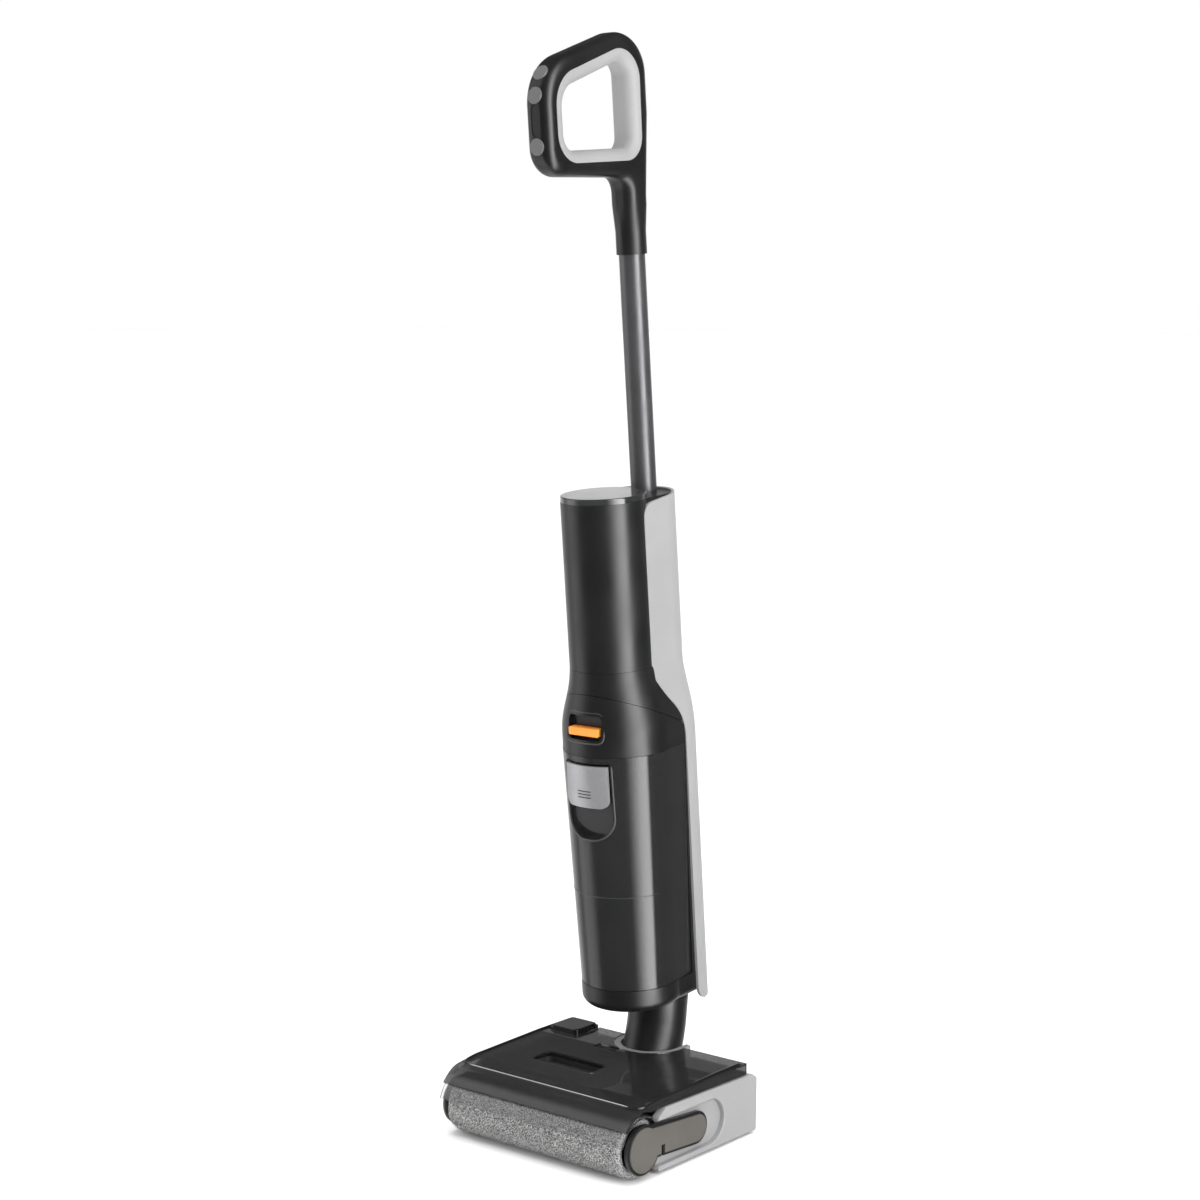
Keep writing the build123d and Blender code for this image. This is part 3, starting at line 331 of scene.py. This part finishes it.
def plush_roller():
    """A pile of short tufts over a felt sleeve, in place of the plain CAD roller cover."""
    low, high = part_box("roller_plush")
    axis_y = (low.y + high.y) / 2
    axis_z = (low.z + high.z) / 2
    felt = (high.y - low.y) / 2 - PILE_DEPTH
    points, faces = felt_sleeve(low, high, axis_y, axis_z, felt)
    shades = [0.25] * len(faces)
    for _ in range(TUFTS):
        x = random.uniform(low.x + 0.0004, high.x - 0.0004)
        start = len(points)
        points += tuft(x, (axis_y, axis_z), felt)
        faces.append((start, start + 1, start + 2))
        shades.append(random.random())
    mesh = bpy.data.meshes.new("roller_pile")
    mesh.from_pydata([tuple(point) for point in points], [], faces)
    tone = mesh.attributes.new("tone", "FLOAT", "FACE")
    tone.data.foreach_set("value", shades)
    pile = bpy.data.objects.new("roller_pile", mesh)
    bpy.context.scene.collection.objects.link(pile)
    mesh.materials.append(plush_fibre())
    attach(pile, "roller")
    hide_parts("roller_plush")


plush_roller()


# ---------------------------------------------------------------- small moulded details, some in pale colours that paint highlight lines
def bead(name, body, path, radius, material, closed=False):
    """A thin round rib that follows a path lying on a surface, tapered at open ends."""
    sides, points, faces = 10, [], []
    count = len(path)
    for number, centre in enumerate(path):
        before = path[number - 1] if number or closed else path[0]
        after = path[(number + 1) % count] if number < count - 1 or closed else path[-1]
        along = (after - before).normalized()
        across = along.cross(Vector((0.31, 0.57, 0.76))).normalized()
        out = along.cross(across)
        end = min(number, count - 1 - number)
        size = radius if closed else radius * min(1.0, 0.15 + 0.45 * end)
        for side in range(sides):
            turn = 2 * math.pi * side / sides
            points.append(centre + (across * math.cos(turn) + out * math.sin(turn)) * size)
    for number in range(count if closed else count - 1):
        for side in range(sides):
            a, b = number * sides + side, number * sides + (side + 1) % sides
            c, d = (b + sides) % len(points), (a + sides) % len(points)
            faces.append((a, b, c, d))
    if not closed:
        faces.append(tuple(reversed(range(sides))))
        faces.append(tuple(range(len(points) - sides, len(points))))
    mesh = bpy.data.meshes.new(name)
    mesh.from_pydata([tuple(point) for point in points], [], faces)
    for face in mesh.polygons:
        face.use_smooth = True
    made = bpy.data.objects.new(name, mesh)
    bpy.context.scene.collection.objects.link(made)
    mesh.materials.append(material)
    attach(made, body)
    return made


def rounded(corners, radii, step=0.0015, closed=True):
    """Points along a polygon in the plane whose corners are rounded, evenly close together."""
    turns = []
    for number, (corner, radius) in enumerate(zip(corners, radii)):
        corner = Vector(corner)
        before, after = Vector(corners[number - 1]), Vector(corners[(number + 1) % len(corners)])
        if radius == 0:
            turns.append([corner])
            continue
        back, on = (before - corner).normalized(), (after - corner).normalized()
        half = back.angle(on) / 2
        reach = radius / math.tan(half)
        start, end = corner + back * reach, corner + on * reach
        centre = corner + (back + on).normalized() * radius / math.sin(half)
        arc = []
        for share in range(9):
            chord = start.lerp(end, share / 8) - centre
            arc.append(centre + chord.normalized() * radius)
        turns.append(arc)
    path = []
    for number, arc in enumerate(turns):
        path += arc
        if number == len(turns) - 1 and not closed:
            break
        target = turns[(number + 1) % len(turns)][0]
        gap = (target - arc[-1]).length
        stops = int(gap / step)
        path += [arc[-1].lerp(target, stop / stops) for stop in range(1, stops)]
    return path


def wrapped(outline, radius_at):
    """Outline points (across, up) laid on the body's round front."""
    laid = []
    for across, up in outline:
        radius = radius_at(up)
        laid.append(body_point(across, -math.sqrt(radius * radius - across * across), up))
    return laid


def tank_radius(up):
    """The tapered tank's outer radius, between 52.2 mm at its foot and 58 mm at its top."""
    return (52.2 + (up / MM - 56.6) / 245.4 * 5.8) * MM


def shoulder_radius(up):
    """The filter drawer's outer radius below the slanted seam."""
    return (57.4 + min(0.0, (322 - up / MM) * 0.17)) * MM


# The latch ridges, recess rim, tank seam and pocket rim below use the lighter rim colour, so their outlines
# are painted highlight lines.
RIDGE_RADIUS = 0.0600
for number, up in enumerate((0.2610, 0.2642, 0.2674)):
    line = [(across * MM, up) for across in range(-9, 10)]
    ridge = wrapped(line, lambda up: RIDGE_RADIUS)
    bead(f"latch_ridge_{number + 1}", "tank_catch", ridge, 0.0006, RIM_HIGHLIGHT)

recess = rounded(
    [(-0.0292, 0.294), (-0.0292, 0.2155), (0.0292, 0.2155), (0.0292, 0.294)],
    (0, 0.024, 0.024, 0), closed=False,
)
bead("recess_rim", "tank", wrapped(recess, tank_radius), 0.0010, RIM_HIGHLIGHT)

SEAM_UP = 0.156
seam = []
for step in range(-15, 16):
    turn = math.radians(5.2 * step)
    ring = tank_radius(SEAM_UP)
    seam.append(body_point(ring * math.sin(turn), -ring * math.cos(turn), SEAM_UP))
bead("tank_seam", "tank", seam, 0.0004, RIM_HIGHLIGHT)

pocket = rounded(
    [(-0.0235, 0.3165), (0.0235, 0.3165), (0.0235, 0.3470), (-0.0235, 0.3470)], (0.007, 0.007, 0.009, 0.009)
)
bead("pocket_rim", "filter", wrapped(pocket, shoulder_radius), 0.0009, RIM_HIGHLIGHT, closed=True)


def cover_rim():
    """The raised rounded rim along the front and both sides of the see-through cover, and a pale bead along
    its front lip that paints the highlight line there.
    """
    low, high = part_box("top_cover")
    side, front, rear = high.x - 0.0030, low.y + 0.0225, high.y - 0.004
    corners = [(-side, rear), (-side, front), (side, front), (side, rear)]
    outline = rounded(corners, (0, 0.014, 0.014, 0), 0.004, False)
    path = []
    for x, y in outline:
        fall = max(0.0, (-0.06 - y) / 0.024)
        rise = min(1.0, (y + 0.06) / 0.1) if y > -0.06 else 0.0
        path.append(Vector((x, y, high.z - 0.0027 + 0.0026 * rise - 0.0030 * fall)))
    bead("cover_rim", "cover", path, 0.0019, GLOSS_BLACK)
    # A thin pale bead just above the front of the rim: a painted highlight along the lip.
    lip_highlight_line = [point + Vector((0, 0.0002, 0.0017)) for point in path if abs(point.y - front) < 0.0005]
    bead("cover_lip_highlight", "cover", lip_highlight_line, 0.0006, LIP_HIGHLIGHT)


cover_rim()


# ---------------------------------------------------------------- studio
def area_light(name, place, aim, width, height, power):
    lamp = bpy.data.lights.new(name, "AREA")
    lamp.shape = "RECTANGLE"
    lamp.size = width
    lamp.size_y = height
    lamp.energy = power
    made = bpy.data.objects.new(name, lamp)
    made.location = place
    made.rotation_euler = (Vector(aim) - Vector(place)).to_track_quat("-Z", "Y").to_euler()
    made.visible_glossy = False
    made.visible_camera = False
    bpy.context.scene.collection.objects.link(made)


area_light("key_softbox", (2.1, -0.35, 1.0), (0, 0, 0.6), 1.6, 2.3, 60)
area_light("left_strip", (-2.0, -0.85, 0.9), (0, 0, 0.55), 0.6, 2.2, 24)
area_light("front_fill", (0.4, -3.2, 1.6), (0, 0, 0.4), 1.8, 1.8, 26)

sun = bpy.data.lights.new("ceiling", "SUN")
sun.energy = 3.2
sun.angle = math.radians(70)
ceiling = bpy.data.objects.new("ceiling", sun)
ceiling.visible_glossy = False
bpy.context.scene.collection.objects.link(ceiling)

floor_mesh = bpy.data.meshes.new("studio_floor")
floor_mesh.from_pydata([(-60, -60, 0), (60, -60, 0), (60, 60, 0), (-60, 60, 0)], [], [(0, 1, 2, 3)])
floor = bpy.data.objects.new("studio_floor", floor_mesh)
bpy.context.scene.collection.objects.link(floor)
paint = Shader("studio_paint")
paint.base(paint.colours(paint.noise(1.3, 2), (0.86, 0.86, 0.86), (0.88, 0.88, 0.88)))
paint.rough(paint.ramp(paint.noise(5.0, 3), 0.6, 0.75))
floor_mesh.materials.append(paint.material)
floor.visible_glossy = False


# compass angles in degrees: each band rises from the first to the second and falls from the third
# to the fourth
KEY_BAND, KEY_STRENGTH = (-44.0, 0.0, 4.0, 11.0), 9.0
WEAK_BAND, WEAK_STRENGTH = (-176.0, -156.0, -142.0, -118.0), 1.3
BEHIND = 132.0


def studio_world():
    """White page behind the object, dim air around it, and tall soft bands that only gloss mirrors."""
    world = bpy.data.worlds.new("studio_air")
    bpy.context.scene.world = world
    world.use_nodes = True
    world.cycles.sampling_method = "NONE"
    tree = world.node_tree

    def node(kind, operation=None, *values):
        made = tree.nodes.new(kind)
        if operation:
            made.operation = operation
        for number, value in enumerate(values):
            if isinstance(value, (int, float, tuple)):
                made.inputs[number].default_value = value
            else:
                tree.links.new(value, made.inputs[number])
        return made

    def maths(operation, *values):
        return node("ShaderNodeMath", operation, *values).outputs[0]

    def fade(value, start, end, low, high):
        made = node("ShaderNodeMapRange", None, value, start, end, low, high)
        made.interpolation_type = "SMOOTHSTEP"
        return made.outputs["Result"]

    split = node("ShaderNodeSeparateXYZ", None, node("ShaderNodeTexCoord").outputs["Generated"])
    x, y, z = (split.outputs[axis] for axis in "XYZ")
    flat = maths("SQRT", maths("ADD", maths("MULTIPLY", x, x), maths("MULTIPLY", y, y)))

    def facing(angle):
        """Cosine of the compass angle between the ray and `angle`."""
        east = maths("MULTIPLY", x, math.cos(math.radians(angle)))
        north = maths("MULTIPLY", y, math.sin(math.radians(angle)))
        return maths("DIVIDE", maths("ADD", east, north), flat)

    def band(start, rise, fall, end, strength):
        """A tall light between two compass angles, with a soft edge on each side."""
        start, rise, fall, end = (math.radians(angle) for angle in (start, rise, fall, end))
        compass = maths("ARCTAN2", y, x)
        rising = fade(compass, start, rise, 0.0, strength)
        return maths("MULTIPLY", rising, fade(compass, fall, end, 1.0, 0.0))

    lights = maths("ADD", band(*KEY_BAND, KEY_STRENGTH), band(*WEAK_BAND, WEAK_STRENGTH))
    lights = maths("MULTIPLY", lights, fade(z, 0.95, 0.7, 0.0, 1.0))
    behind = fade(facing(BEHIND), math.cos(math.radians(70)), math.cos(math.radians(25)), 0.0, 1.0)
    horizon = maths("MULTIPLY", behind, fade(z, 0.33, 0.20, 0.04, 0.85))
    mirrored = maths("ADD", maths("ADD", lights, horizon), 0.05)

    air = node("ShaderNodeBackground", None, (1, 1, 1, 1), 0.3)
    mirror = node("ShaderNodeBackground", None, (1, 1, 1, 1), mirrored)
    page = node("ShaderNodeBackground", None, (1, 1, 1, 1), 1.0)
    path = node("ShaderNodeLightPath")
    mix = "ShaderNodeMixShader"
    glossy = node(mix, None, path.outputs["Is Glossy Ray"], air.outputs[0], mirror.outputs[0])
    seen = node(mix, None, path.outputs["Is Camera Ray"], glossy.outputs[0], page.outputs[0])
    tree.links.new(seen.outputs[0], tree.nodes["World Output"].inputs["Surface"])


studio_world()

camera_data = bpy.data.cameras.new("camera")
camera_data.lens = 72
camera_data.sensor_width = 36
camera = bpy.data.objects.new("camera", camera_data)
camera.location = (1.5154, -1.8383, 0.8445)
camera.rotation_euler = (math.radians(83), 0, math.radians(39.5))
bpy.context.scene.collection.objects.link(camera)
bpy.context.scene.camera = camera
bpy.context.scene.view_settings.view_transform = "Standard"
